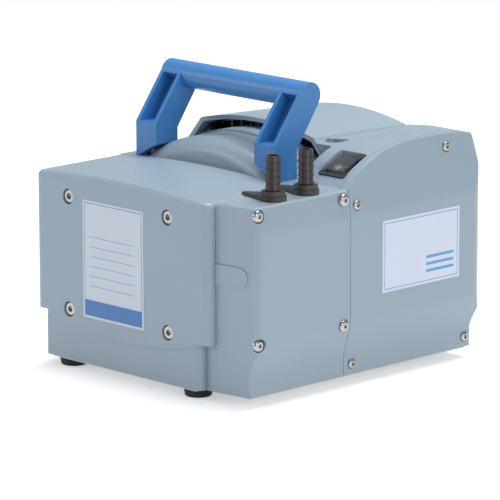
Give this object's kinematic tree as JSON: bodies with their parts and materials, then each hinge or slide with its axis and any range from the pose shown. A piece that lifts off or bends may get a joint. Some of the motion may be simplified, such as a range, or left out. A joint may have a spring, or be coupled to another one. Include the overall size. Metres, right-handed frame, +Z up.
{
  "type": "diaphragm vacuum pump",
  "caption": "Twin-head diaphragm vacuum pump in a moulded case with carrying handle, hose nozzles, rocker switch, fan cowl and rubber feet.",
  "frame": {"origin": "centre of the footprint on the surface the feet stand on", "axes": "+Z up, +X towards the head that carries the hose nozzles, -Y towards the front cover, motor shaft along Y"},
  "size_m": [0.2146, 0.239, 0.2069],
  "materials": {
    "shell": "satin",
    "barrel": "satin",
    "handle": "satin",
    "nozzle": "satin",
    "black_plastic": "satin",
    "clear_plastic": "clear",
    "rubber": "matte",
    "steel": "satin",
    "cast_aluminium": "as cast",
    "core_steel": "laminated",
    "copper": "enamelled",
    "fluoropolymer": "matte"
  },
  "bodies": {
    "housing": {"air_grille": "black_plastic", "base_plate": "steel", "capacitor": "cast_aluminium", "capacitor_clip": "steel", "cowl_screws": "steel", "crankcase": "cast_aluminium", "fan_cowl": "shell", "foot_screws": "steel", "front_bearing": "steel", "front_cover": "shell", "front_cover_screws": "steel", "handle": "handle", "handle_screws": "steel", "inlet_nozzle": "nozzle", "left_cover": "shell", "left_cover_screws": "steel", "left_diaphragm": "rubber", "left_head_bolts": "steel", "left_head_housing": "fluoropolymer", "middle_bearing": "steel", "motor_barrel": "barrel", "motor_hood": "shell", "motor_saddle": "cast_aluminium", "outlet_nozzle": "nozzle", "power_inlet": "black_plastic", "rear_bearing": "steel", "rear_end_shield": "cast_aluminium", "right_diaphragm": "rubber", "right_head_bolts": "steel", "right_head_cover": "shell", "right_head_cover_screws": "steel", "right_head_housing": "fluoropolymer", "right_side_box": "shell", "right_side_lid": "shell", "right_side_lid_screws": "steel", "rubber_feet": "rubber", "stator": "core_steel", "stator_windings": "copper", "switch_bezel": "black_plastic", "switch_cap": "clear_plastic", "transfer_tubes": "fluoropolymer"},
    "rotor": {"motor_shaft": "steel", "rotor_core": "core_steel", "eccentric": "steel", "cooling_fan": "black_plastic"},
    "right_rod": {"right_connecting_rod": "cast_aluminium", "right_rod_bearing": "steel", "right_clamping_disc": "cast_aluminium"},
    "left_rod": {"left_connecting_rod": "cast_aluminium", "left_rod_bearing": "steel", "left_clamping_disc": "cast_aluminium"},
    "rocker": {"switch_rocker": "black_plastic"},
    "right_inlet_valve": {"right_inlet_valve": "rubber"},
    "right_outlet_valve": {"right_outlet_valve": "rubber"},
    "left_inlet_valve": {"left_inlet_valve": "rubber"},
    "left_outlet_valve": {"left_outlet_valve": "rubber"}
  },
  "joints": [
    {"name": "rotor_spin", "type": "hinge", "parent": "housing", "child": "rotor", "pos_m": [-0.0203, 0, 0.09], "axis": [0, 1, 0], "continuous": true, "deforming": ["right_diaphragm", "left_diaphragm"]},
    {"name": "right_rod_pivot", "type": "hinge", "parent": "rotor", "child": "right_rod", "pos_m": [-0.0173, -0.062, 0.09], "axis": [0, 1, 0], "continuous": true},
    {"name": "left_rod_pivot", "type": "hinge", "parent": "rotor", "child": "left_rod", "pos_m": [-0.0173, -0.062, 0.09], "axis": [0, 1, 0], "continuous": true},
    {"name": "rocker_tilt", "type": "hinge", "parent": "housing", "child": "rocker", "pos_m": [0.0797, 0.00378, 0.1472], "axis": [-1, 0, 0], "range_deg": [0, 16]},
    {"name": "right_inlet_valve_lift", "type": "slide", "parent": "housing", "child": "right_inlet_valve", "axis": [1, 0, 0], "range_m": [0, 0.0008]},
    {"name": "right_outlet_valve_lift", "type": "slide", "parent": "housing", "child": "right_outlet_valve", "axis": [1, 0, 0], "range_m": [0, 0.0008]},
    {"name": "left_inlet_valve_lift", "type": "slide", "parent": "housing", "child": "left_inlet_valve", "axis": [-1, 0, 0], "range_m": [0, 0.0008]},
    {"name": "left_outlet_valve_lift", "type": "slide", "parent": "housing", "child": "left_outlet_valve", "axis": [-1, 0, 0], "range_m": [0, 0.0008]}
  ],
  "couplings": [
    {"joint": "right_rod_pivot", "follows": "rotor_spin", "ratio": -1},
    {"joint": "left_rod_pivot", "follows": "rotor_spin", "ratio": -1}
  ]
}
